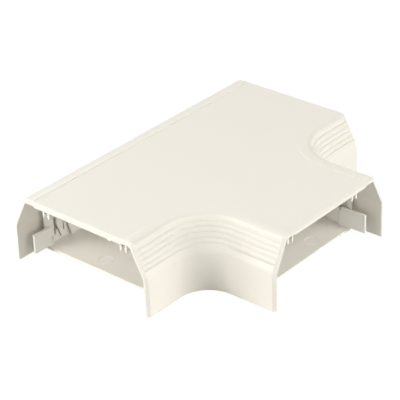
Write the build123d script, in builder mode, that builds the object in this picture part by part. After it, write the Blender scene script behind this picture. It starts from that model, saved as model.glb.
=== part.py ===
"""Tee fitting for surface trunking: a reeded cover that snaps over a tray-shaped base.

The run lies along X, the branch points to -Y, and Z stands off the mounting surface.
The origin is where the centrelines of run and branch cross, on the mounting surface.
"""
from build123d import *
import os
from math import atan, cos, hypot, tan

# Cover, outside form (mm)
run_length = 203.0            # end to end along the run
branch_reach = 107.0          # run centreline to the open end of the branch
cover_width = 108.0           # across any arm, at the mounting surface
cover_height = 45.6
cover_wall = 2.6
bend_height = 25.2            # where the upright wall turns into the sloped shoulder
bend_inset = 0.4              # draft of the upright wall over the bend height
shoulder_inset = 10.9         # how far in the shoulder meets the top
corner_radius = 20.0          # concave plan corner, outside, at the mounting surface
shoulder_radius = 3.0
bend_radius = 9.0
inner_shoulder_radius = 2.0
inner_bend_radius = 1.5
end_chamfer = 1.5
crown_inset = 18.3            # foot of the walls to the edge of the sunk crown
crown_sink = 0.3              # the crown lies this far under the rim round it
rim_land = 0.3                # flat top of the rim
rim_fall = 0.3                # the rim falls this far towards the shoulder
rim_radius = 40.0             # slow curve from that fall to the flat

# Reeds on the shoulders
reed_count = 5
reed_start = 4.85             # shoulder's top corner to the first valley, down the slope
reed_pitch = 3.2
reed_rise = 0.7               # length of the short flank that ends a valley
reed_depth = 0.5              # ridge to valley
ridge_sink = 0.05             # ridges lie this far under the plain slope
ridge_radius = 0.9

# Lip and prongs under the top, at each opening
lip_width = 69.0
lip_depth = 3.0
lip_thickness = 0.8
stop_width = 2.8              # small stop under the lip, at the openings of the run
stop_height = 0.8
stop_offset = 26.0
prong_setback = 5.9           # end plane to the prongs
prong_depth = 8.0             # along the arm
prong_spread = 31.0           # arm's centreline to the middle of a pair
prong_tip_height = 32.9       # above the mounting surface
prong_slot = 2.8              # between the shanks of a pair
prong_shank = 1.4
prong_barb = 0.5
prong_tip = 0.6
prong_barb_rise = 2.6         # tip to the crest of the barb

# Base
floor_thickness = 1.85
floor_setback = 19.5          # end plane of the run to the floor's edge, where the trunking stops
branch_floor_setback = 20.0
base_gap = 2.5                # cover's inner face to the base's outer face
base_wall = 1.25
base_wall_height = 12.3
tongue_setback = 8.0          # end plane to the tongue's tip
tongue_step = 0.75            # base wall's inner face to the tongue's outer face
tongue_thickness = 1.8
tongue_foot = 2.5             # underside of the tongue, above the mounting surface
tongue_top = 14.9
jog_setback = 21.7            # end plane of the run to the start of the sideways step
branch_jog_setback = 25.8
jog_length = 5.0

# Latch posts and the catches that they hold
post_height = 25.5
run_post_width = 7.3
branch_post_width = 3.0
nose_height = 10.0            # underside of the post's nose
nose_rise = 3.0
catch_depth = 0.8
catch_height = 1.2
catch_clearance = 0.15

# Back wall of the base
sill_height = 6.1             # low stretch between the posts of the run
peak_setback = 29.15          # pointed rise of the sill beside each post
peak_height = 9.8
slit_floor = 3.0              # foot of the slit between that rise and the panel
slit_width = 1.0              # foot of a slit, on either side of the rise
panel_setback = 29.4          # tall panel behind the slit
panel_width = 5.1
panel_lean = 3.2              # its lower end slopes back by this much
panel_lean_height = 12.0
rear_post_setback = 35.5
rear_post_width = 3.7
rear_post_thickness = 2.2
inner_wall_step = 2.3         # inner wall stands this far inside the base wall
inner_wall_setback = 40.1
inner_wall_lean = 3.5         # overhang of its end, floor to top

# Round marks on the floor
knockout_diameter = 9.2
knockout_depth = 0.2
knockout_setback = 29.1       # end plane to the mark's centre
run_knockout_offset = 7.5
branch_knockout_offset = 19.8
ejector_diameter = 4.9
ejector_depth = 0.15
ejector_setback = 26.0
ejector_offset = 40.6

# Relief under the floor's edge at the branch
relief_width = 74.6
relief_depth = 5.0
relief_height = 1.1

# Values worked out from the sizes above
overrun = 5.0                 # cutting tools pass the faces that they cut by this much
root_overlap = 0.5            # added features sink into their carrier by this much
run_end = run_length / 2
cover_half = cover_width / 2
crown_span = crown_inset - rim_land
corner_round = min(           # the latch posts stand on straight wall, clear of the corner
    corner_radius,
    run_end - floor_setback - run_post_width - cover_half,
    branch_reach - branch_floor_setback - branch_post_width - cover_half,
)
wall_lean = atan(bend_inset / bend_height)
slope_lean = atan((shoulder_inset - bend_inset) / (cover_height - bend_height))
ceiling = cover_height - cover_wall
base_half = cover_half - cover_wall - base_gap
base_inner_half = base_half - base_wall
base_corner_radius = corner_round + cover_wall + base_gap
tongue_half = base_inner_half - tongue_step - tongue_thickness
reed_fall = reed_pitch - reed_rise

# Opening planes: local X runs across the arm, local Y is up, local Z points inwards
left_mouth = Plane(origin=(-run_end, 0, 0), x_dir=(0, 1, 0), z_dir=(1, 0, 0))
right_mouth = Plane(origin=(run_end, 0, 0), x_dir=(0, -1, 0), z_dir=(-1, 0, 0))
branch_mouth = Plane(origin=(0, -branch_reach, 0), x_dir=(-1, 0, 0), z_dir=(0, 1, 0))

# Plan planes of the same openings: local X points inwards, local Y runs across the arm
left_plan = Plane(origin=left_mouth.origin, x_dir=(1, 0, 0), z_dir=(0, 0, 1))
branch_plan = Plane(origin=branch_mouth.origin, x_dir=(0, 1, 0), z_dir=(0, 0, 1))


def wall_face(height, inset):
    """Distance in from the cover's foot to its wall face, or to a face inset from it."""
    return inset / cos(wall_lean) + height * tan(wall_lean)


def slope_face(height, inset):
    """Distance in from the cover's foot to its shoulder face, or to a face inset from it."""
    return bend_inset + (height - bend_height) * tan(slope_lean) + inset / cos(slope_lean)


def bend_level(inset):
    """Height at which the wall face and the shoulder face, both inset, cross."""
    spread = inset / cos(slope_lean) - inset / cos(wall_lean) + bend_inset
    return (bend_height * tan(slope_lean) - spread) / (tan(slope_lean) - tan(wall_lean))


def near_path(inset, radius, run_start, branch_start):
    """Plan line of the near left side: along the run, round the corner, along the branch."""
    side = cover_half - inset
    with BuildLine() as path:
        FilletPolyline(
            (-run_start, -side), (-side, -side), (-side, -branch_start), radius=[radius]
        )
    return path.line


def edge_plane(inset, run_start):
    """Plane across the start of the near path: local X points in, local Y is up."""
    return Plane(origin=(-run_start, inset - cover_half, 0), x_dir=(0, 1, 0), z_dir=(1, 0, 0))


def back_plane(inset):
    """Plane across the straight back at the middle of the run, looking along -X."""
    return Plane(origin=(0, cover_half - inset, 0), x_dir=(0, -1, 0), z_dir=(-1, 0, 0))


def shoulder_section(plane, inset, foot, bend_round, shoulder_round, fall):
    """Face from the foot of the wall up over the shoulder and the rim to the flat top."""
    top = cover_height - inset
    shoulder = top - fall
    bend = bend_level(inset)
    edge = [
        (wall_face(foot, inset), foot),
        (wall_face(bend, inset), bend),
        (slope_face(shoulder, inset), shoulder),
        (crown_span, top),
    ]
    rounds = [bend_round, shoulder_round]
    if fall:
        edge.insert(3, ((slope_face(shoulder, inset) + crown_span) / 2, top))
        rounds.append(rim_radius)
    with BuildSketch(plane) as section:
        with BuildLine():
            FilletPolyline(*edge, radius=rounds)
            Polyline(edge[-1], (crown_span, foot), edge[0])
        make_face()
    return section.sketch


def half_plan(inset, past_ends, level):
    """Left half of the tee's plan, inset from the foot of the walls."""
    run_start = run_end + past_ends
    branch_start = branch_reach + past_ends
    side = cover_half - inset
    with BuildSketch(Plane.XY.offset(level)) as plan:
        with BuildLine():
            FilletPolyline(
                (0, side), (-run_start, side), (-run_start, -side), (-side, -side),
                (-side, -branch_start), (0, -branch_start),
                radius=[0, 0, corner_round + inset, 0],
            )
            Line((0, -branch_start), (0, side))
        make_face()
    return plan.sketch


def tee_form(inset, past_ends, foot, bend_round, shoulder_round, fall):
    """Solid tee with the cover's section: the outside form, or the hollow when inset."""
    run_start = run_end + past_ends
    branch_start = branch_reach + past_ends
    with BuildPart() as form:
        sweep(
            shoulder_section(edge_plane(0, run_start), inset, foot, bend_round, shoulder_round, fall),
            path=near_path(0, corner_round, run_start, branch_start),
        )
        extrude(
            shoulder_section(back_plane(0), inset, foot, bend_round, shoulder_round, fall),
            amount=run_start,
        )
        extrude(half_plan(crown_span, past_ends, foot), amount=cover_height - inset - foot)
        mirror(about=Plane.YZ)
    return form.part


envelope = tee_form(0, 0, 0, bend_radius, shoulder_radius, rim_fall)
hollow = tee_form(cover_wall, overrun, -overrun, inner_bend_radius, inner_shoulder_radius, 0)

# Flat crown, sunk a little inside a rim that follows the shoulders
with BuildPart() as crown:
    extrude(half_plan(crown_inset, overrun, cover_height - crown_sink), amount=overrun)
    mirror(about=Plane.YZ)


def reed_section(plane):
    """Band cut from the shoulder: below it stand the reeds, with long flanks down and short ones up."""
    slope_length = hypot(shoulder_inset - bend_inset, cover_height - bend_height)
    down = ((bend_inset - shoulder_inset) / slope_length,
            (bend_height - cover_height) / slope_length)
    out = (down[1], -down[0])

    def on_slope(along, proud):
        return (shoulder_inset + along * down[0] + proud * out[0],
                cover_height + along * down[1] + proud * out[1])

    valley = -ridge_sink - reed_depth
    steps_clear = (root_overlap - valley) / reed_depth
    last_root = reed_start + (reed_count - 1) * reed_pitch
    edge = [on_slope(reed_start - steps_clear * reed_fall, root_overlap)]
    rounds = []
    for reed in range(reed_count - 1):
        root = reed_start + reed * reed_pitch
        edge += [on_slope(root, valley), on_slope(root + reed_rise, -ridge_sink)]
        rounds += [0, ridge_radius]
    edge += [on_slope(last_root, valley), on_slope(last_root + steps_clear * reed_rise, root_overlap)]
    rounds += [0]
    with BuildSketch(plane) as section:
        with BuildLine():
            FilletPolyline(*edge, radius=rounds)
            Line(edge[-1], edge[0])
        make_face()
    return section.sketch


# Cuts that leave the reeds standing, along both near sides and the straight back
with BuildPart() as reeding:
    sweep(
        reed_section(edge_plane(0, run_end + overrun)),
        path=near_path(0, corner_round, run_end + overrun, branch_reach + overrun),
    )
    extrude(reed_section(back_plane(0)), amount=run_end + overrun)
    mirror(about=Plane.YZ)


def prong_outline(side):
    """One barbed prong, drawn from the middle of its pair; its barb faces the middle."""
    inner = prong_slot / 2
    outer = inner + prong_shank
    middle = (inner + outer) / 2
    crest = prong_tip_height + prong_barb_rise
    return [
        (side * inner, ceiling + root_overlap),
        (side * inner, crest + prong_barb),
        (side * (inner - prong_barb), crest),
        (side * (middle - prong_tip / 2), prong_tip_height),
        (side * (middle + prong_tip / 2), prong_tip_height),
        (side * outer, crest - prong_shank),
        (side * outer, ceiling + root_overlap),
    ]


def catch_outline(side):
    """Bead on the cover's inner wall that sits under the nose of a latch post."""
    top = nose_height - catch_clearance
    bottom = top - catch_height
    face = cover_half - wall_face(bottom, cover_wall)
    return [
        (side * (face + root_overlap), bottom - catch_depth),
        (side * face, bottom - catch_depth),
        (side * (face - catch_depth), bottom),
        (side * (face - catch_depth), top),
        (side * (face + root_overlap), top),
    ]


# Cover: the hollow shell, then what hangs under its top and on its walls
with BuildPart() as tee_cover:
    add(envelope)
    for end_face in (faces().sort_by(Axis.X)[0], faces().sort_by(Axis.X)[-1], faces().sort_by(Axis.Y)[0]):
        chamfer(end_face.edges().sort_by(Axis.Z)[1:], length=end_chamfer)
    add(hollow, mode=Mode.SUBTRACT)
    add(reeding.part, mode=Mode.SUBTRACT)
    add(crown.part, mode=Mode.SUBTRACT)
    for mouth in (left_mouth, right_mouth, branch_mouth):
        with BuildSketch(mouth):
            with Locations((0, ceiling - lip_thickness)):
                Rectangle(lip_width, lip_thickness + root_overlap, align=(Align.CENTER, Align.MIN))
        extrude(amount=lip_depth)
        with BuildSketch(mouth.offset(prong_setback)):
            with Locations((-prong_spread, 0), (prong_spread, 0)):
                Polygon(*prong_outline(1), align=None)
                Polygon(*prong_outline(-1), align=None)
        extrude(amount=prong_depth)
    for mouth, near_side in ((left_mouth, -1), (right_mouth, 1)):
        with BuildSketch(mouth):
            with Locations((near_side * stop_offset, ceiling - lip_thickness - stop_height)):
                Rectangle(stop_width, stop_height + root_overlap, align=(Align.CENTER, Align.MIN))
        extrude(amount=lip_depth)
    for mouth, setback, post_width in (
        (left_mouth, floor_setback, run_post_width),
        (right_mouth, floor_setback, run_post_width),
        (branch_mouth, branch_floor_setback, branch_post_width),
    ):
        with BuildSketch(mouth.offset(setback)):
            Polygon(*catch_outline(1), align=None)
            Polygon(*catch_outline(-1), align=None)
        extrude(amount=post_width)


def post_outline(side):
    """Tall latch post with a nose that reaches out over the cover's catch."""
    nose_top = nose_height + nose_rise
    nose_tip = cover_half - wall_face(nose_top, cover_wall) - catch_clearance
    return [
        (side * base_inner_half, 0),
        (side * base_half, 0),
        (side * base_half, nose_height),
        (side * nose_tip, nose_height),
        (side * base_half, nose_top),
        (side * base_half, post_height),
        (side * base_inner_half, post_height),
    ]


def tongue_plan(plan, side, jog_start):
    """Plan of the upright tongue that lies inside the base wall and reaches into the trunking."""
    with BuildSketch(plan.offset(tongue_foot)) as section:
        with Locations(((tongue_setback + jog_start) / 2, side * (tongue_half + tongue_thickness / 2))):
            Rectangle(jog_start - tongue_setback, tongue_thickness)
    return section.sketch


def jog_plan(plan, side, floor_start, jog_start):
    """Plan of the base wall's thick end, which steps back to the wall in two tangent arcs."""
    jog_end = jog_start + jog_length
    thick = side * tongue_half
    thin = side * base_inner_half
    rooted = side * (base_inner_half + root_overlap)
    middle = ((jog_start + jog_end) / 2, (thick + thin) / 2)
    with BuildSketch(plan) as section:
        with BuildLine():
            Polyline((jog_end, thin), (jog_end, rooted), (floor_start, rooted),
                     (floor_start, thick), (jog_start, thick))
            lead = TangentArc((jog_start, thick), middle, tangent=(1, 0))
            TangentArc(middle, (jog_end, thin), tangent=lead % 1)
        make_face()
    return section.sketch


def back_wall_outline():
    """Sill from a post of the run to the tall panel: a pointed rise, then a leaning slit."""
    post_side = floor_setback + run_post_width
    panel_end = panel_setback + panel_width
    panel_foot = panel_setback + panel_lean
    outline = [
        (post_side - root_overlap, 0), (post_side - root_overlap, sill_height),
        (post_side + slit_width, sill_height), (peak_setback, peak_height),
        (panel_foot - slit_width, slit_floor), (panel_foot, slit_floor),
        (panel_setback, panel_lean_height), (panel_setback, post_height),
        (panel_end, post_height), (panel_end, 0),
    ]
    return [(setback - run_end, height) for setback, height in outline]


# Base: left half with the left opening and half of the branch, mirrored to the whole
floor_end = run_end - floor_setback
floor_front = branch_reach - branch_floor_setback
panel_end = run_end - panel_setback - panel_width
rear_post_end = run_end - rear_post_setback
inner_wall_end = run_end - inner_wall_setback
with BuildPart() as tee_base:
    with BuildSketch():
        with BuildLine():
            FilletPolyline(
                (0, base_half), (-floor_end, base_half), (-floor_end, -base_half),
                (-base_half, -base_half), (-base_half, -floor_front), (0, -floor_front),
                radius=[0, 0, base_corner_radius, 0],
            )
            Line((0, -floor_front), (0, base_half))
        make_face()
    extrude(amount=floor_thickness)
    with BuildSketch(edge_plane(cover_wall + base_gap, floor_end)):
        Rectangle(base_wall, base_wall_height, align=Align.MIN)
    sweep(path=near_path(cover_wall + base_gap, base_corner_radius, floor_end, floor_front))
    with BuildSketch(back_plane(cover_wall + base_gap)):
        Rectangle(base_wall, sill_height, align=Align.MIN)
    extrude(amount=panel_end + root_overlap)
    with BuildSketch(Plane.XZ.offset(-base_inner_half)):
        Polygon(*back_wall_outline(), align=None)
    extrude(amount=-base_wall)
    with BuildSketch(back_plane(cover_half - base_inner_half - rear_post_thickness).offset(rear_post_end)):
        Rectangle(rear_post_thickness, base_wall_height, align=Align.MIN)
    extrude(amount=-rear_post_width)
    with BuildSketch(Plane.XZ.offset(inner_wall_step - base_inner_half)):
        with BuildLine():
            Polyline(
                (0, 0), (-inner_wall_end, 0), (-inner_wall_end - inner_wall_lean, base_wall_height),
                (0, base_wall_height), (0, 0),
            )
        make_face()
    extrude(amount=-base_wall)
    for side, wall_top in ((1, sill_height), (-1, base_wall_height)):
        with BuildSketch(left_mouth.offset(floor_setback)):
            Polygon(*post_outline(side), align=None)
        extrude(amount=run_post_width)
        extrude(tongue_plan(left_plan, side, jog_setback), amount=tongue_top - tongue_foot)
        extrude(jog_plan(left_plan, side, floor_setback, jog_setback), amount=wall_top)
    with BuildSketch(branch_mouth.offset(branch_floor_setback)):
        Polygon(*post_outline(1), align=None)
    extrude(amount=branch_post_width)
    extrude(tongue_plan(branch_plan, 1, branch_jog_setback), amount=tongue_top - tongue_foot)
    extrude(jog_plan(branch_plan, 1, branch_floor_setback, branch_jog_setback), amount=base_wall_height)
    with BuildSketch(Plane.XY.offset(floor_thickness)):
        with Locations(
            (knockout_setback - run_end, run_knockout_offset),
            (-branch_knockout_offset, knockout_setback - branch_reach),
        ):
            Circle(knockout_diameter / 2)
    extrude(amount=-knockout_depth, mode=Mode.SUBTRACT)
    with BuildSketch(Plane.XY.offset(floor_thickness)):
        with Locations((-ejector_offset, ejector_setback - branch_reach)):
            Circle(ejector_diameter / 2)
    extrude(amount=-ejector_depth, mode=Mode.SUBTRACT)
    with BuildSketch():
        with Locations((0, -floor_front)):
            Rectangle(relief_width / 2, relief_depth, align=(Align.MAX, Align.MIN))
    extrude(amount=relief_height, mode=Mode.SUBTRACT)
    mirror(about=Plane.YZ)

os.makedirs("parts", exist_ok=True)
tee_cover.part.label = "tee_cover"
export_step(tee_cover.part, "parts/tee_cover.step")
tee_base.part.label = "tee_base"
export_step(tee_base.part, "parts/tee_base.step")
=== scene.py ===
"""Looks of a tee fitting for surface trunking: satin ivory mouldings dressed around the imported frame.

The file is laid out as an add-on and run as a script. Every piece sits in the frame, in metres.
"""
import math

import bmesh
import bpy
from bpy.props import FloatProperty, FloatVectorProperty, IntProperty, PointerProperty
from mathutils import Matrix, Vector
from mathutils.geometry import intersect_point_line


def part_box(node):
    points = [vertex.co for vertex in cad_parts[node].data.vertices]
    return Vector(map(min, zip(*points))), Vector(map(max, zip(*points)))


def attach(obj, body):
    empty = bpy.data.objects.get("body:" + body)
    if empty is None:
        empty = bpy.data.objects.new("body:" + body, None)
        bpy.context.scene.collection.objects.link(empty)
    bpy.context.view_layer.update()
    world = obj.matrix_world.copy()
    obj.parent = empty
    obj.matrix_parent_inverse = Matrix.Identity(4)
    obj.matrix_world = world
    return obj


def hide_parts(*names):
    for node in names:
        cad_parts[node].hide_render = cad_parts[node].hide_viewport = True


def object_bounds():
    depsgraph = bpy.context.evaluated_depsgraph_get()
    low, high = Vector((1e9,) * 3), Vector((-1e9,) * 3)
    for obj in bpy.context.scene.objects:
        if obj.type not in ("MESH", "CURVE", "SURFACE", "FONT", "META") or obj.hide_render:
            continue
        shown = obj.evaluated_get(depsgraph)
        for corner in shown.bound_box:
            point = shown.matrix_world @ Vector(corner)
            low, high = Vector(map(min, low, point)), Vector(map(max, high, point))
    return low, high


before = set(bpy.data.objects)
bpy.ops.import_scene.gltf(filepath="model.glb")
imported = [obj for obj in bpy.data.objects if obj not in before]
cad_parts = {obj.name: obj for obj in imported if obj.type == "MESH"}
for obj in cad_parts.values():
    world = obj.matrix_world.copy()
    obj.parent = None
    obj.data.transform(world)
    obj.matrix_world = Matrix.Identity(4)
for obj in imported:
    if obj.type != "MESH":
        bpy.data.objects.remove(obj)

bl_info = {
    "name": "Trunking Tee",
    "version": (1, 0, 0),
    "blender": (4, 5, 0),
    "location": "3D View > Sidebar > Trunking Tee",
    "description": "Dresses a tee fitting for surface trunking and sets its studio",
    "category": "Add Mesh",
}

BODY = "root"
CAD_LOW, CAD_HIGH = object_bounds()
COVER_LOW, COVER_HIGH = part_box("tee_cover")
MM = 0.001
RUN_END = COVER_HIGH.x
BRANCH_END = COVER_LOW.y
COVER_HALF = COVER_HIGH.y
COVER_HEIGHT = COVER_HIGH.z
WHITE = (1.0, 1.0, 1.0, 1.0)
# Cosine past which two edges that meet count as one line that carries on.
CARRIES_ON = -0.8
# Bearing from the run's right end, counter-clockwise, and height above the floor, in degrees.
LAMP_PLACES = {
    "left_low": (142, 8),
    "left_middle": (154, 28),
    "left_high": (166, 40),
    "front_low": (282, 8),
    "front_high": (282, 40),
    "front_side": (294, 8),
}
SOFTBOX_PLACES = {
    "right": (30, 35),
    "back": (75, 35),
    "fill": (225, 35),
}


class MouldingSizes(bpy.types.PropertyGroup):
    """Edge and shading sizes of the mouldings and of the small pieces on them."""

    weld: FloatProperty(
        name="Weld", description="Distance under which corners of the solid's facets are merged",
        default=0.002 * MM, unit="LENGTH", precision=6,
    )
    flat_angle: FloatProperty(
        name="Flat angle", description="Facets that turn by less than this are joined into one face",
        default=math.radians(0.2), subtype="ANGLE",
    )
    sharp_angle: FloatProperty(
        name="Sharp angle", description="Edges that turn by more than this are rounded and shade as edges",
        default=math.radians(28), subtype="ANGLE",
    )
    edge_round: FloatProperty(
        name="Edge round", description="Width of the small round that a mould leaves on an edge",
        default=0.22 * MM, unit="LENGTH", precision=5,
    )
    edge_room: FloatProperty(
        name="Edge room", description="Edges with less clear face than this beside them stay crisp",
        default=0.9 * MM, unit="LENGTH", precision=5,
    )
    corner_room: FloatProperty(
        name="Corner room", description="Edges that meet at a narrower angle than this stay crisp",
        default=math.radians(50), subtype="ANGLE",
    )
    edge_steps: IntProperty(
        name="Edge steps", description="Facets across a rounded edge", default=2, min=1, max=6,
    )
    crisp_angle: FloatProperty(
        name="Crisp angle", description="Edges of reeds, rims and skins that turn by more shade as edges",
        default=math.radians(50), subtype="ANGLE",
    )


class ReedSizes(bpy.types.PropertyGroup):
    """Bowed bands of the reeds that run along the sloped shoulders of the cover."""

    count: IntProperty(name="Reeds", description="Bowed reeds on each shoulder", default=4, min=1, max=20)
    pitch: FloatProperty(
        name="Pitch", description="Reed to reed, down the slope",
        default=3.2 * MM, unit="LENGTH", precision=5,
    )
    upper_edge: FloatVectorProperty(
        name="Upper edge", description="First reed's upper edge: down the slope, and depth below it",
        size=2, default=(5.0 * MM, 0.46 * MM), unit="LENGTH", precision=5,
    )
    crest: FloatVectorProperty(
        name="Crest", description="First reed's crest: down the slope, and depth below it",
        size=2, default=(6.2 * MM, -0.02 * MM), unit="LENGTH", precision=5,
    )
    lower_edge: FloatVectorProperty(
        name="Lower edge", description="First reed's lower edge: down the slope, and depth below it",
        size=2, default=(7.85 * MM, 0.53 * MM), unit="LENGTH", precision=5,
    )
    top_upper_edge: FloatVectorProperty(
        name="Top upper edge", description="Upper edge of the bow above the first valley, as for a reed",
        size=2, default=(1.5 * MM, 0.036 * MM), unit="LENGTH", precision=5,
    )
    top_crest: FloatVectorProperty(
        name="Top crest", description="Crest of the bow above the first valley, as for a reed",
        size=2, default=(2.9 * MM, 0.036 * MM), unit="LENGTH", precision=5,
    )
    top_lower_edge: FloatVectorProperty(
        name="Top lower edge", description="Lower edge of the bow above the first valley, as for a reed",
        size=2, default=(4.65 * MM, 0.53 * MM), unit="LENGTH", precision=5,
    )
    bow_steps: IntProperty(
        name="Bow steps", description="Facets across a reed's bow", default=14, min=3, max=60,
    )
    slope_top_inset: FloatProperty(
        name="Slope top inset", description="Foot of the wall to the shoulder's top corner",
        default=10.9 * MM, unit="LENGTH", precision=5,
    )
    slope_foot_inset: FloatProperty(
        name="Slope foot inset", description="Foot of the wall to the shoulder's lower corner",
        default=0.4 * MM, unit="LENGTH", precision=5,
    )
    slope_foot_height: FloatProperty(
        name="Slope foot height", description="Height of the shoulder's lower corner",
        default=25.2 * MM, unit="LENGTH", precision=5,
    )
    end_gap: FloatProperty(
        name="End gap", description="Open end of an arm to the end of its reeds",
        default=1.5 * MM, unit="LENGTH", precision=5,
    )
    corner_radius: FloatProperty(
        name="Corner radius", description="Concave plan corner at the foot of the cover",
        default=20.0 * MM, unit="LENGTH", precision=5,
    )
    corner_steps: IntProperty(
        name="Corner steps", description="Facets round a concave corner", default=36, min=4, max=90,
    )


class FloorMarkSizes(bpy.types.PropertyGroup):
    """Marks on the base's floor: fine rims, and thin pale skins in the knock-outs."""

    floor_top: FloatProperty(
        name="Floor top", description="Height of the base's floor",
        default=1.85 * MM, unit="LENGTH", precision=5,
    )
    knockout_radius: FloatProperty(
        name="Knock-out radius", description="Radius of a knock-out",
        default=4.6 * MM, unit="LENGTH", precision=5,
    )
    knockout_setback: FloatProperty(
        name="Knock-out setback", description="Open end of an arm to the knock-out's centre",
        default=29.1 * MM, unit="LENGTH", precision=5,
    )
    run_knockout_offset: FloatProperty(
        name="Run knock-out offset", description="Run's centreline to its knock-outs",
        default=7.5 * MM, unit="LENGTH", precision=5,
    )
    branch_knockout_offset: FloatProperty(
        name="Branch knock-out offset", description="Branch's centreline to its knock-outs",
        default=19.8 * MM, unit="LENGTH", precision=5,
    )
    ejector_radius: FloatProperty(
        name="Ejector radius", description="Radius of an ejector mark",
        default=2.45 * MM, unit="LENGTH", precision=5,
    )
    ejector_setback: FloatProperty(
        name="Ejector setback", description="Open end of the branch to the ejector marks",
        default=26.0 * MM, unit="LENGTH", precision=5,
    )
    ejector_offset: FloatProperty(
        name="Ejector offset", description="Branch's centreline to the ejector marks",
        default=40.6 * MM, unit="LENGTH", precision=5,
    )
    knockout_depth: FloatProperty(
        name="Knock-out depth", description="Floor to the face of a knock-out",
        default=0.17 * MM, unit="LENGTH", precision=5,
    )
    knockout_skin: FloatProperty(
        name="Knock-out skin", description="Thickness of a knock-out's pale skin",
        default=0.1 * MM, unit="LENGTH", precision=5,
    )
    knockout_room: FloatProperty(
        name="Knock-out room", description="Gap round a knock-out's skin",
        default=0.08 * MM, unit="LENGTH", precision=5,
    )
    rim_radius: FloatProperty(
        name="Rim radius", description="Half the thickness of a rim",
        default=0.12 * MM, unit="LENGTH", precision=5,
    )
    ring_steps: IntProperty(
        name="Ring steps", description="Facets round a mark", default=56, min=12, max=180,
    )
    rim_steps: IntProperty(
        name="Rim steps", description="Facets across a rim", default=10, min=4, max=40,
    )


class PlasticLooks(bpy.types.PropertyGroup):
    """Satin ivory plastic."""

    cover_tone: FloatVectorProperty(
        name="Cover tone", description="Colour of the cover's plastic", subtype="COLOR", size=3,
        min=0, max=1, default=(0.884, 0.861, 0.783),
    )
    cover_clouding: FloatVectorProperty(
        name="Cover clouding", description="Colour of its faint clouding", subtype="COLOR", size=3,
        min=0, max=1, default=(0.872, 0.847, 0.766),
    )
    # The base's tone and clouding are a paler, less yellow copy of the cover's ivory: painted light that
    # lifts the shaded inside of the fitting, where the base shows.
    base_tone: FloatVectorProperty(
        name="Base tone", description="Colour of the base's plastic, a little paler", subtype="COLOR", size=3,
        min=0, max=1, default=(0.955, 0.938, 0.882),
    )
    base_clouding: FloatVectorProperty(
        name="Base clouding", description="Colour of its faint clouding", subtype="COLOR", size=3,
        min=0, max=1, default=(0.945, 0.926, 0.866),
    )
    knockout_tone: FloatVectorProperty(
        name="Knock-out tone", description="Colour of the thin skin of a knock-out", subtype="COLOR",
        size=3, min=0, max=1, default=(0.975, 0.962, 0.915),
    )
    knockout_clouding: FloatVectorProperty(
        name="Knock-out clouding", description="Colour of its faint clouding", subtype="COLOR", size=3,
        min=0, max=1, default=(0.965, 0.95, 0.9),
    )
    refraction: FloatProperty(
        name="Refraction", description="Refractive index of the plastic", default=1.5, min=1, max=3,
    )
    roughness: FloatProperty(
        name="Roughness", description="Mean roughness of the satin surface", default=0.42, min=0, max=1,
    )
    roughness_spread: FloatProperty(
        name="Roughness spread", description="How far the roughness varies", default=0.06, min=0, max=0.5,
    )
    cloud_scale: FloatProperty(
        name="Clouding scale", description="Clouds to a metre", default=28.0,
    )
    cloud_detail: FloatProperty(
        name="Clouding detail", description="Finer layers in the clouding", default=4.0, min=0, max=15,
    )
    satin_scale: FloatProperty(
        name="Satin scale", description="Patches of differing roughness to a metre", default=168.0,
    )
    satin_detail: FloatProperty(
        name="Satin detail", description="Finer layers in those patches", default=3.0, min=0, max=15,
    )
    grain_scale: FloatProperty(
        name="Grain scale", description="Grains of the mould's texture to a metre", default=2200.0,
    )
    grain_detail: FloatProperty(
        name="Grain detail", description="Finer layers in the grain", default=2.0, min=0, max=15,
    )
    grain_depth: FloatProperty(
        name="Grain depth", description="Depth of the mould's texture",
        default=0.012 * MM, unit="LENGTH", precision=6,
    )


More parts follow.
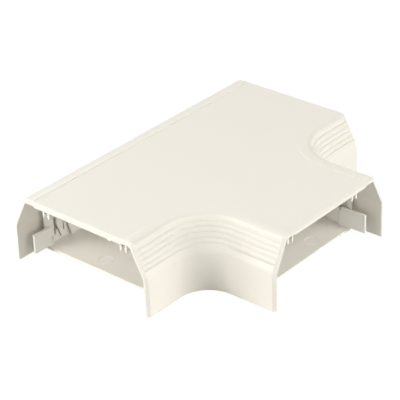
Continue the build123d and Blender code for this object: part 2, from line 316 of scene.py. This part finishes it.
class StageSizes(bpy.types.PropertyGroup):
    """Studio: floor, room, lamps, softboxes and camera."""

    floor_size: FloatProperty(
        name="Floor", description="Side of the floor", default=8.0, unit="LENGTH",
    )
    floor_drop: FloatProperty(
        name="Floor drop", description="Gap under the fitting", default=0.1 * MM, unit="LENGTH", precision=5,
    )
    floor_tone: FloatVectorProperty(
        name="Floor tone", description="Colour of the floor where it takes light and shadow",
        subtype="COLOR", size=3, min=0, max=1, default=(0.86, 0.86, 0.86),
    )
    floor_white: FloatProperty(
        name="Floor white", description="Share of the floor's white that shadows leave alone",
        default=0.82, min=0, max=1,
    )
    floor_glow: FloatProperty(
        name="Floor glow", description="Strength of that white", default=1.12, min=0,
    )
    ambient: FloatProperty(
        name="Ambient", description="Level of the room's even light", default=0.02, min=0,
    )
    lamp_distance: FloatProperty(
        name="Lamp distance", description="Fitting to a lamp", default=1.4, unit="LENGTH",
    )
    softbox_distance: FloatProperty(
        name="Softbox distance", description="Fitting to a softbox", default=2.8, unit="LENGTH",
    )
    lamp_side: FloatProperty(
        name="Lamp side", description="Side of a lamp", default=0.4, unit="LENGTH",
    )
    softbox_side: FloatProperty(
        name="Softbox side", description="Side of a softbox", default=1.8, unit="LENGTH",
    )
    lamp_tint: FloatVectorProperty(
        name="Lamp tint", description="Colour of all the lamps", subtype="COLOR", size=3,
        min=0, max=1, default=(1.0, 0.983, 0.96),
    )
    left_low_power: FloatProperty(
        name="Left lamp, low", description="Power of the low main lamp at the left",
        default=5.26, unit="POWER",
    )
    left_middle_power: FloatProperty(
        name="Left lamp, middle", description="Power of the middle main lamp at the left",
        default=6.82, unit="POWER",
    )
    left_high_power: FloatProperty(
        name="Left lamp, high", description="Power of the high main lamp at the left",
        default=3.44, unit="POWER",
    )
    front_low_power: FloatProperty(
        name="Front lamp, low", description="Power of the low main lamp at the front",
        default=3.1, unit="POWER",
    )
    front_high_power: FloatProperty(
        name="Front lamp, high", description="Power of the high main lamp at the front",
        default=6.89, unit="POWER",
    )
    front_side_power: FloatProperty(
        name="Front side lamp", description="Power of the front lamp set to the right",
        default=3.79, unit="POWER",
    )
    right_power: FloatProperty(
        name="Right softbox", description="Power of the far softbox at the right",
        default=9.8, unit="POWER",
    )
    back_power: FloatProperty(
        name="Back softbox", description="Power of the far softbox behind",
        default=24.5, unit="POWER",
    )
    fill_power: FloatProperty(
        name="Fill softbox", description="Power of the far softbox by the camera",
        default=9.8, unit="POWER",
    )
    view_azimuth: FloatProperty(
        name="View azimuth", description="Turn of the camera about the fitting",
        default=math.radians(-48.51), subtype="ANGLE",
    )
    view_elevation: FloatProperty(
        name="View elevation", description="Height of the camera above the horizon",
        default=math.radians(29.595), subtype="ANGLE",
    )
    view_roll: FloatProperty(
        name="View roll", description="Tilt of the camera about its own axis",
        default=math.radians(-2.313), subtype="ANGLE",
    )
    view_distance: FloatProperty(
        name="View distance", description="Camera to the origin, along the view",
        default=1034.736 * MM, unit="LENGTH",
    )
    view_slide: FloatVectorProperty(
        name="View slide", description="Place of the origin in the view, right and up of its centre",
        size=2, default=(-4.215 * MM, -11.145 * MM), unit="LENGTH", precision=6,
    )
    focal_length: FloatProperty(
        name="Focal length", description="Focal length of the camera's lens, in millimetres",
        default=148.464,
    )
    frame_width: FloatProperty(
        name="Frame width", description="Width of the camera's square frame, in millimetres",
        default=36.0,
    )


class TrunkingTeeSettings(bpy.types.PropertyGroup):
    """All settings of the fitting."""

    moulding: PointerProperty(type=MouldingSizes)
    reeds: PointerProperty(type=ReedSizes)
    marks: PointerProperty(type=FloorMarkSizes)
    plastic: PointerProperty(type=PlasticLooks)
    stage: PointerProperty(type=StageSizes)


def settings():
    """Settings of the current scene."""
    return bpy.context.scene.trunking_tee


class NodeBench:
    """Short ways to add, set and join the nodes of one tree."""

    def __init__(self, tree):
        self.tree = tree

    def add(self, kind, **values):
        """Adds a node and sets its own options."""
        node = self.tree.nodes.new(kind)
        for name, value in values.items():
            setattr(node, name, value)
        return node

    def feed(self, target, value):
        """Joins a socket to an input, or sets the input to a constant."""
        if isinstance(value, bpy.types.NodeSocket):
            self.tree.links.new(value, target)
        else:
            target.default_value = value

    def math(self, operation, *values):
        """Adds a Math node and returns its result."""
        node = self.add("ShaderNodeMath", operation=operation)
        for target, value in zip(node.inputs, values):
            self.feed(target, value)
        return node.outputs[0]


def satin_ivory(piece):
    """Moulded plastic of the cover, base or knock-outs: faint clouding, uneven satin, fine grain."""
    looks = settings().plastic
    name = piece + "_ivory"
    material = bpy.data.materials.get(name)
    if material is not None:
        return material
    material = bpy.data.materials.new(name)
    material.use_nodes = True
    bench = NodeBench(material.node_tree)
    shader = material.node_tree.nodes["Principled BSDF"]
    shader.inputs["IOR"].default_value = looks.refraction
    place = bench.add("ShaderNodeTexCoord").outputs["Object"]

    def noise(scale, detail):
        node = bench.add("ShaderNodeTexNoise")
        bench.feed(node.inputs["Vector"], place)
        bench.feed(node.inputs["Scale"], scale)
        bench.feed(node.inputs["Detail"], detail)
        return node.outputs["Fac"]

    clouding = bench.add("ShaderNodeMix", data_type="RGBA")
    bench.feed(clouding.inputs["Factor"], noise(looks.cloud_scale, looks.cloud_detail))
    # For the base these two colours are the paler copy of the ivory, painted light for the fitting's shaded
    # inside.
    bench.feed(clouding.inputs["A"], (*getattr(looks, piece + "_clouding"), 1.0))
    bench.feed(clouding.inputs["B"], (*getattr(looks, piece + "_tone"), 1.0))
    bench.feed(shader.inputs["Base Color"], clouding.outputs["Result"])

    satin = bench.add("ShaderNodeMapRange")
    bench.feed(satin.inputs["Value"], noise(looks.satin_scale, looks.satin_detail))
    bench.feed(satin.inputs["To Min"], looks.roughness - looks.roughness_spread)
    bench.feed(satin.inputs["To Max"], looks.roughness + looks.roughness_spread)
    bench.feed(shader.inputs["Roughness"], satin.outputs["Result"])

    grain = bench.add("ShaderNodeBump")
    bench.feed(grain.inputs["Height"], noise(looks.grain_scale, looks.grain_detail))
    bench.feed(grain.inputs["Distance"], looks.grain_depth)
    bench.feed(shader.inputs["Normal"], grain.outputs["Normal"])
    return material


def distance_to(point, edge):
    """Distance of a point from an edge."""
    start, end = (corner.co for corner in edge.verts)
    share = intersect_point_line(point, start, end)[1]
    return (start.lerp(end, min(1.0, max(0.0, share))) - point).length


def clear_beside(edge, face):
    """How far one of a face's edges lies from the face's other edges that don't touch it."""
    clear = math.inf
    for other in face.edges:
        if set(other.verts) & set(edge.verts):
            continue
        clear = min(clear, *(distance_to(corner.co, edge) for corner in other.verts),
                    *(distance_to(corner.co, other) for corner in edge.verts))
    return clear


def crowded_end(edge, sharp, sizes):
    """Whether another sharp edge leaves an edge's end at a narrow angle, or is too short there."""
    for end in edge.verts:
        along = (edge.other_vert(end).co - end.co).normalized()
        for other in end.link_edges:
            if other is edge or other not in sharp:
                continue
            away = other.other_vert(end).co - end.co
            turn = along.dot(away.normalized())
            if turn > math.cos(sizes.corner_room):
                return True
            if turn > CARRIES_ON and away.length < sizes.edge_room:
                return True
    return False


def roomy_edges(work, sizes):
    """Sharp edges with room for a small round on both sides."""
    sharp = {e for e in work.edges if e.is_manifold and e.calc_face_angle() > sizes.sharp_angle}
    return [
        e for e in sharp
        if not crowded_end(e, sharp, sizes)
        and all(clear_beside(e, face) > sizes.edge_room for face in e.link_faces)
    ]


def moulded_copy(node, piece_name, sizes):
    """Copy of a solid's mesh with joined flats, rounded edges and even shading."""
    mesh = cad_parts[node].data.copy()
    mesh.name = piece_name
    work = bmesh.new()
    work.from_mesh(mesh)
    bmesh.ops.remove_doubles(work, verts=work.verts, dist=sizes.weld)
    bmesh.ops.dissolve_degenerate(work, dist=sizes.weld, edges=work.edges)
    bmesh.ops.dissolve_limit(
        work, angle_limit=sizes.flat_angle, verts=work.verts, edges=work.edges, delimit=set()
    )
    bmesh.ops.bevel(
        work, geom=sorted(roomy_edges(work, sizes), key=lambda edge: edge.index),
        offset=sizes.edge_round, offset_type="OFFSET", segments=sizes.edge_steps,
        profile=0.5, affect="EDGES", clamp_overlap=False,
    )
    for face in work.faces:
        face.smooth = True
    for edge in work.edges:
        edge.smooth = not edge.is_manifold or edge.calc_face_angle() < sizes.sharp_angle
    work.to_mesh(mesh)
    work.free()
    mesh.materials.clear()
    piece = bpy.data.objects.new(piece_name, mesh)
    bpy.context.scene.collection.objects.link(piece)
    even = piece.modifiers.new("Even shading", "WEIGHTED_NORMAL")
    even.keep_sharp = True
    return piece


def plain_mesh(piece):
    """Turns the result of a piece's modifiers into its own mesh."""
    depsgraph = bpy.context.evaluated_depsgraph_get()
    made = bpy.data.meshes.new_from_object(piece.evaluated_get(depsgraph))
    if not made.polygons:
        raise RuntimeError(f"{piece.name}: its node tree made no faces")
    made.name = piece.name
    piece.modifiers.clear()
    piece.data = made
    work = bmesh.new()
    work.from_mesh(made)
    bmesh.ops.remove_doubles(work, verts=work.verts, dist=settings().moulding.weld)
    bmesh.ops.recalc_face_normals(work, faces=work.faces)
    work.to_mesh(made)
    work.free()


def new_tree(name, inputs, output):
    """Empty node tree with named inputs, and its bench."""
    tree = bpy.data.node_groups.new(name, "GeometryNodeTree")
    for label, kind in inputs.items():
        tree.interface.new_socket(label, in_out="INPUT", socket_type="NodeSocket" + kind)
    tree.interface.new_socket(output, in_out="OUTPUT", socket_type="NodeSocketGeometry")
    return tree, NodeBench(tree)


def end_tree(bench, geometry, material):
    """Ends a tree: instances made real, the material set, the result given out."""
    realized = bench.add("GeometryNodeRealizeInstances")
    bench.feed(realized.inputs["Geometry"], geometry)
    finished = bench.add("GeometryNodeSetMaterial")
    bench.feed(finished.inputs["Geometry"], realized.outputs["Geometry"])
    bench.feed(finished.inputs["Material"], material)
    result = bench.add("NodeGroupOutput")
    bench.feed(result.inputs[0], finished.outputs["Geometry"])


def ring(bench, radius, steps):
    """Circle curve of a given radius."""
    circle = bench.add("GeometryNodeCurvePrimitiveCircle", mode="RADIUS")
    bench.feed(circle.inputs["Radius"], radius)
    bench.feed(circle.inputs["Resolution"], steps)
    return circle.outputs["Curve"]


def closed_bow(bench, given, upper, crest, lower):
    """Arc through three named points of a section, closed by its chord."""
    bow = bench.add("GeometryNodeCurveArc", mode="POINTS")
    bench.feed(bow.inputs["Resolution"], given["Bow steps"])
    bench.feed(bow.inputs["Start"], given[upper])
    bench.feed(bow.inputs["Middle"], given[crest])
    bench.feed(bow.inputs["End"], given[lower])
    closed = bench.add("GeometryNodeSetSplineCyclic")
    bench.feed(closed.inputs["Geometry"], bow.outputs["Curve"])
    bench.feed(closed.inputs["Cyclic"], True)
    return closed.outputs["Geometry"]


def reed_tree():
    """Tree that sweeps a row of bowed bands, set down a slope, along plan lines at the foot."""
    tree, bench = new_tree("Reed bows", {
        "Plan lines": "Geometry", "Corner radius": "Float", "Corner steps": "Int", "Bow steps": "Int",
        "Upper edge": "Vector", "Crest": "Vector", "Lower edge": "Vector",
        "Top upper edge": "Vector", "Top crest": "Vector", "Top lower edge": "Vector",
        "Reeds": "Int", "Next reed": "Vector", "Plastic": "Material",
    }, "Reeds")
    given = bench.add("NodeGroupInput").outputs
    lines = bench.add("GeometryNodeMeshToCurve")
    bench.feed(lines.inputs["Mesh"], given["Plan lines"])
    rounded = bench.add("GeometryNodeFilletCurve", mode="POLY")
    bench.feed(rounded.inputs["Curve"], lines.outputs["Curve"])
    bench.feed(rounded.inputs["Radius"], given["Corner radius"])
    bench.feed(rounded.inputs["Count"], given["Corner steps"])
    upright = bench.add("GeometryNodeSetCurveNormal", mode="Z_UP")
    bench.feed(upright.inputs["Curve"], rounded.outputs["Curve"])
    row = bench.add("GeometryNodeMeshLine", mode="OFFSET", count_mode="TOTAL")
    bench.feed(row.inputs["Count"], given["Reeds"])
    bench.feed(row.inputs["Offset"], given["Next reed"])
    placed = bench.add("GeometryNodeInstanceOnPoints")
    bench.feed(placed.inputs["Points"], row.outputs["Mesh"])
    bench.feed(placed.inputs["Instance"], closed_bow(bench, given, "Upper edge", "Crest", "Lower edge"))
    bows = bench.add("GeometryNodeJoinGeometry")
    bench.feed(bows.inputs["Geometry"], placed.outputs["Instances"])
    top_bow = closed_bow(bench, given, "Top upper edge", "Top crest", "Top lower edge")
    bench.feed(bows.inputs["Geometry"], top_bow)
    section = bench.add("GeometryNodeRealizeInstances")
    bench.feed(section.inputs["Geometry"], bows.outputs["Geometry"])
    swept = bench.add("GeometryNodeCurveToMesh")
    bench.feed(swept.inputs["Curve"], upright.outputs["Curve"])
    bench.feed(swept.inputs["Profile Curve"], section.outputs["Geometry"])
    bench.feed(swept.inputs["Fill Caps"], True)
    end_tree(bench, swept.outputs["Mesh"], given["Plastic"])
    return tree


def mark_rim_tree():
    """Tree that sets a thin ring round each point, as wide as the point's own radius."""
    tree, bench = new_tree("Mark rims", {
        "Centres": "Geometry", "Rim radius": "Float", "Rim steps": "Int", "Ring steps": "Int",
        "Plastic": "Material",
    }, "Rims")
    given = bench.add("NodeGroupInput").outputs
    radius = bench.add("GeometryNodeInputNamedAttribute", data_type="FLOAT")
    radius.inputs["Name"].default_value = "mark_radius"
    placed = bench.add("GeometryNodeInstanceOnPoints")
    bench.feed(placed.inputs["Points"], given["Centres"])
    bench.feed(placed.inputs["Instance"], ring(bench, 1.0, given["Ring steps"]))
    bench.feed(placed.inputs["Scale"], radius.outputs["Attribute"])
    rings = bench.add("GeometryNodeRealizeInstances")
    bench.feed(rings.inputs["Geometry"], placed.outputs["Instances"])
    swept = bench.add("GeometryNodeCurveToMesh")
    bench.feed(swept.inputs["Curve"], rings.outputs["Geometry"])
    bench.feed(swept.inputs["Profile Curve"], ring(bench, given["Rim radius"], given["Rim steps"]))
    end_tree(bench, swept.outputs["Mesh"], given["Plastic"])
    return tree


def knockout_tree():
    """Tree that sets a thin round plate on each point."""
    tree, bench = new_tree("Knock-out skins", {
        "Centres": "Geometry", "Radius": "Float", "Thickness": "Float", "Ring steps": "Int",
        "Plastic": "Material",
    }, "Skins")
    given = bench.add("NodeGroupInput").outputs
    plate = bench.add("GeometryNodeMeshCylinder", fill_type="NGON")
    bench.feed(plate.inputs["Vertices"], given["Ring steps"])
    bench.feed(plate.inputs["Radius"], given["Radius"])
    bench.feed(plate.inputs["Depth"], given["Thickness"])
    placed = bench.add("GeometryNodeInstanceOnPoints")
    bench.feed(placed.inputs["Points"], given["Centres"])
    bench.feed(placed.inputs["Instance"], plate.outputs["Mesh"])
    end_tree(bench, placed.outputs["Instances"], given["Plastic"])
    return tree


def grown_piece(name, mesh, tree, values):
    """Piece that a node tree grows from a mesh, turned plain and set in the frame."""
    piece = bpy.data.objects.new(name, mesh)
    bpy.context.scene.collection.objects.link(piece)
    modifier = piece.modifiers.new(tree.name, "NODES")
    modifier.node_group = tree
    for socket in tree.interface.items_tree:
        if socket.in_out == "INPUT" and socket.name in values:
            modifier[socket.identifier] = values[socket.name]
    plain_mesh(piece)
    for face in piece.data.polygons:
        face.use_smooth = True
    piece.data.set_sharp_from_angle(angle=settings().moulding.crisp_angle)
    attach(piece, BODY)


class TRUNKING_OT_dress_cover(bpy.types.Operator):
    """Dress the cover: rounded edges and satin ivory plastic"""

    bl_idname = "trunking_tee.dress_cover"
    bl_label = "Dress the cover"

    def execute(self, context):
        cover = moulded_copy("tee_cover", "cover_moulding", settings().moulding)
        cover.data.materials.append(satin_ivory("cover"))
        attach(cover, BODY)
        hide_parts("tee_cover")
        return {"FINISHED"}


class TRUNKING_OT_dress_base(bpy.types.Operator):
    """Dress the base: rounded edges and satin ivory plastic"""

    bl_idname = "trunking_tee.dress_base"
    bl_label = "Dress the base"

    def execute(self, context):
        base = moulded_copy("tee_base", "base_moulding", settings().moulding)
        # The base's plastic is painted paler than the cover's, as light for the shaded inside of the fitting.
        base.data.materials.append(satin_ivory("base"))
        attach(base, BODY)
        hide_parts("tee_base")
        return {"FINISHED"}


def knockout_centres(sizes):
    """Plan places of the knock-outs: one in each arm of the run, two in the branch."""
    centres = []
    for side in (-1, 1):
        centres.append((side * (RUN_END - sizes.knockout_setback), sizes.run_knockout_offset))
        centres.append((side * sizes.branch_knockout_offset, BRANCH_END + sizes.knockout_setback))
    return centres


class TRUNKING_OT_skin_knockouts(bpy.types.Operator):
    """Lay the thin pale skin in each knock-out of the floor"""

    bl_idname = "trunking_tee.skin_knockouts"
    bl_label = "Skin the knock-outs"

    def execute(self, context):
        sizes = settings().marks
        height = sizes.floor_top - sizes.knockout_depth - sizes.knockout_skin / 2
        centres = bpy.data.meshes.new("knockout_skins")
        centres.from_pydata([(x, y, height) for x, y in knockout_centres(sizes)], [], [])
        grown_piece("knockout_skins", centres, knockout_tree(), {
            "Radius": sizes.knockout_radius - sizes.knockout_room,
            "Thickness": sizes.knockout_skin,
            "Ring steps": sizes.ring_steps,
            "Plastic": satin_ivory("knockout"),
        })
        return {"FINISHED"}


class TRUNKING_OT_rim_floor_marks(bpy.types.Operator):
    """Set a fine rim round each knock-out and ejector mark on the floor"""

    bl_idname = "trunking_tee.rim_floor_marks"
    bl_label = "Rim the floor marks"

    def execute(self, context):
        sizes = settings().marks
        marks = [(x, y, sizes.knockout_radius) for x, y in knockout_centres(sizes)]
        for side in (-1, 1):
            marks.append((side * sizes.ejector_offset, BRANCH_END + sizes.ejector_setback,
                          sizes.ejector_radius))
        centres = bpy.data.meshes.new("floor_mark_rims")
        centres.from_pydata([(x, y, sizes.floor_top) for x, y, _ in marks], [], [])
        radius = centres.attributes.new("mark_radius", "FLOAT", "POINT")
        for value, (_, _, mark_radius) in zip(radius.data, marks):
            value.value = mark_radius
        grown_piece("floor_mark_rims", centres, mark_rim_tree(), {
            "Rim radius": sizes.rim_radius,
            "Rim steps": sizes.rim_steps,
            "Ring steps": sizes.ring_steps,
            "Plastic": satin_ivory("base"),
        })
        return {"FINISHED"}


class TRUNKING_OT_bow_reeds(bpy.types.Operator):
    """Bow the reeds along the three shoulders"""

    bl_idname = "trunking_tee.bow_reeds"
    bl_label = "Bow the reeds"

    def execute(self, context):
        sizes = settings().reeds
        run = RUN_END - sizes.end_gap
        branch = BRANCH_END + sizes.end_gap
        side = COVER_HALF
        lines = (
            ((-run, -side), (-side, -side), (-side, branch)),
            ((side, branch), (side, -side), (run, -side)),
            ((run, side), (-run, side)),
        )
        corners = []
        edges = []
        for line in lines:
            edges.extend((len(corners) + i, len(corners) + i + 1) for i in range(len(line) - 1))
            corners.extend((x, y, 0.0) for x, y in line)
        plan = bpy.data.meshes.new("reed_bows")
        plan.from_pydata(corners, edges, [])
        top = Vector((-sizes.slope_top_inset, -COVER_HEIGHT, 0.0))
        foot = Vector((-sizes.slope_foot_inset, -sizes.slope_foot_height, 0.0))
        down = (foot - top).normalized()
        inward = Vector((-down.y, down.x, 0.0))

        def on_slope(place):
            along, depth = place
            return top + down * along + inward * depth

        grown_piece("reed_bows", plan, reed_tree(), {
            "Corner radius": sizes.corner_radius,
            "Corner steps": sizes.corner_steps,
            "Bow steps": sizes.bow_steps,
            "Upper edge": on_slope(sizes.upper_edge),
            "Crest": on_slope(sizes.crest),
            "Lower edge": on_slope(sizes.lower_edge),
            "Top upper edge": on_slope(sizes.top_upper_edge),
            "Top crest": on_slope(sizes.top_crest),
            "Top lower edge": on_slope(sizes.top_lower_edge),
            "Reeds": sizes.count,
            "Next reed": down * sizes.pitch,
            "Plastic": satin_ivory("cover"),
        })
        return {"FINISHED"}


def direction(bearing, height):
    """Unit vector towards a bearing, counted from +X, and a height above the horizon."""
    return Vector((
        math.cos(bearing) * math.cos(height),
        math.sin(bearing) * math.cos(height),
        math.sin(height),
    ))


def camera_axes(stage):
    """Right, up and back of the camera, with its roll. Its azimuth is counted from -Y."""
    back = direction(stage.view_azimuth - math.pi / 2, stage.view_elevation)
    level_right = direction(stage.view_azimuth, 0.0)
    level_up = back.cross(level_right)
    right = math.cos(stage.view_roll) * level_right + math.sin(stage.view_roll) * level_up
    return right, back.cross(right), back


def seen_directly(bench):
    """1 for rays that show the stage itself, straight or in a reflection, and 0 for its light."""
    path = bench.add("ShaderNodeLightPath").outputs
    straight = bench.math("MAXIMUM", path["Is Camera Ray"], path["Is Glossy Ray"])
    return bench.math("MAXIMUM", straight, path["Is Transmission Ray"])


def white_floor(stage):
    """White floor that still takes the fitting's shadow."""
    material = bpy.data.materials.new("studio_floor")
    material.use_nodes = True
    material.node_tree.nodes.clear()
    bench = NodeBench(material.node_tree)
    matt = bench.add("ShaderNodeBsdfDiffuse")
    matt.inputs["Color"].default_value = (*stage.floor_tone, 1.0)
    glow = bench.add("ShaderNodeEmission")
    glow.inputs["Strength"].default_value = stage.floor_glow
    share = bench.math("MULTIPLY", seen_directly(bench), stage.floor_white)
    mixed = bench.add("ShaderNodeMixShader")
    bench.feed(mixed.inputs["Fac"], share)
    bench.feed(mixed.inputs[1], matt.outputs["BSDF"])
    bench.feed(mixed.inputs[2], glow.outputs["Emission"])
    result = bench.add("ShaderNodeOutputMaterial")
    bench.feed(result.inputs["Surface"], mixed.outputs["Shader"])
    return material


class TRUNKING_OT_set_stage(bpy.types.Operator):
    """Set the floor, the room's light, the lamps, the softboxes and the camera"""

    bl_idname = "trunking_tee.set_stage"
    bl_label = "Set the stage"

    def execute(self, context):
        stage = settings().stage
        self.lay_floor(context, stage)
        self.fill_room(context, stage)
        self.hang_lights(context, stage)
        self.place_camera(context, stage)
        context.scene.view_settings.view_transform = "Standard"
        return {"FINISHED"}

    def lay_floor(self, context, stage):
        half = stage.floor_size / 2
        mesh = bpy.data.meshes.new("studio_floor")
        corners = [(-half, -half), (half, -half), (half, half), (-half, half)]
        mesh.from_pydata([(x, y, -stage.floor_drop) for x, y in corners], [], [(0, 1, 2, 3)])
        mesh.materials.append(white_floor(stage))
        floor = bpy.data.objects.new("studio_floor", mesh)
        context.scene.collection.objects.link(floor)

    def fill_room(self, context, stage):
        world = bpy.data.worlds.new("studio_room")
        context.scene.world = world
        world.use_nodes = True
        bench = NodeBench(world.node_tree)
        room = world.node_tree.nodes["Background"]
        room.inputs["Color"].default_value = WHITE
        level = bench.add("ShaderNodeMix", data_type="FLOAT")
        bench.feed(level.inputs["Factor"], seen_directly(bench))
        bench.feed(level.inputs["A"], stage.ambient)
        bench.feed(level.inputs["B"], 1.0)
        bench.feed(room.inputs["Strength"], level.outputs["Result"])

    def hang_lights(self, context, stage):
        middle = (CAD_LOW + CAD_HIGH) / 2
        for kind, places, side, distance in (
            ("lamp", LAMP_PLACES, stage.lamp_side, stage.lamp_distance),
            ("softbox", SOFTBOX_PLACES, stage.softbox_side, stage.softbox_distance),
        ):
            for name, (bearing, height) in places.items():
                away = direction(math.radians(bearing), math.radians(height))
                light = bpy.data.lights.new(f"{name}_{kind}", "AREA")
                light.energy = getattr(stage, name + "_power")
                light.size = side
                light.color = stage.lamp_tint
                source = bpy.data.objects.new(light.name, light)
                source.location = middle + away * distance
                source.rotation_euler = away.to_track_quat("Z", "Y").to_euler()
                context.scene.collection.objects.link(source)

    def place_camera(self, context, stage):
        right, up, back = camera_axes(stage)
        slide_right, slide_up = stage.view_slide
        place = back * stage.view_distance - right * slide_right - up * slide_up
        lens = bpy.data.cameras.new("photo_view")
        lens.lens = stage.focal_length
        lens.sensor_width = stage.frame_width
        camera = bpy.data.objects.new("photo_view", lens)
        camera.matrix_world = Matrix.Translation(place) @ Matrix((right, up, back)).transposed().to_4x4()
        context.scene.collection.objects.link(camera)
        context.scene.camera = camera


class TRUNKING_PT_sidebar(bpy.types.Panel):
    """Sidebar that lists the steps and their settings"""

    bl_idname = "TRUNKING_PT_sidebar"
    bl_label = "Trunking Tee"
    bl_space_type = "VIEW_3D"
    bl_region_type = "UI"
    bl_category = "Trunking Tee"

    def draw(self, context):
        for step in STEPS:
            self.layout.operator(step.bl_idname)
        groups = context.scene.trunking_tee
        for group in (groups.moulding, groups.reeds, groups.marks, groups.plastic, groups.stage):
            box = self.layout.box()
            for name in group.__annotations__:
                box.prop(group, name)


STEPS = (
    TRUNKING_OT_dress_cover,
    TRUNKING_OT_dress_base,
    TRUNKING_OT_bow_reeds,
    TRUNKING_OT_skin_knockouts,
    TRUNKING_OT_rim_floor_marks,
    TRUNKING_OT_set_stage,
)
CLASSES = (
    MouldingSizes, ReedSizes, FloorMarkSizes, PlasticLooks, StageSizes, TrunkingTeeSettings,
    *STEPS, TRUNKING_PT_sidebar,
)


def register():
    """Registers the settings, the steps and the sidebar."""
    for kind in CLASSES:
        bpy.utils.register_class(kind)
    bpy.types.Scene.trunking_tee = PointerProperty(type=TrunkingTeeSettings)


def unregister():
    """Takes them away again."""
    del bpy.types.Scene.trunking_tee
    for kind in reversed(CLASSES):
        bpy.utils.unregister_class(kind)


def main():
    """Runs every step in order."""
    register()
    bpy.ops.trunking_tee.dress_cover()
    bpy.ops.trunking_tee.dress_base()
    bpy.ops.trunking_tee.bow_reeds()
    bpy.ops.trunking_tee.skin_knockouts()
    bpy.ops.trunking_tee.rim_floor_marks()
    bpy.ops.trunking_tee.set_stage()


if __name__ == "__main__":
    main()
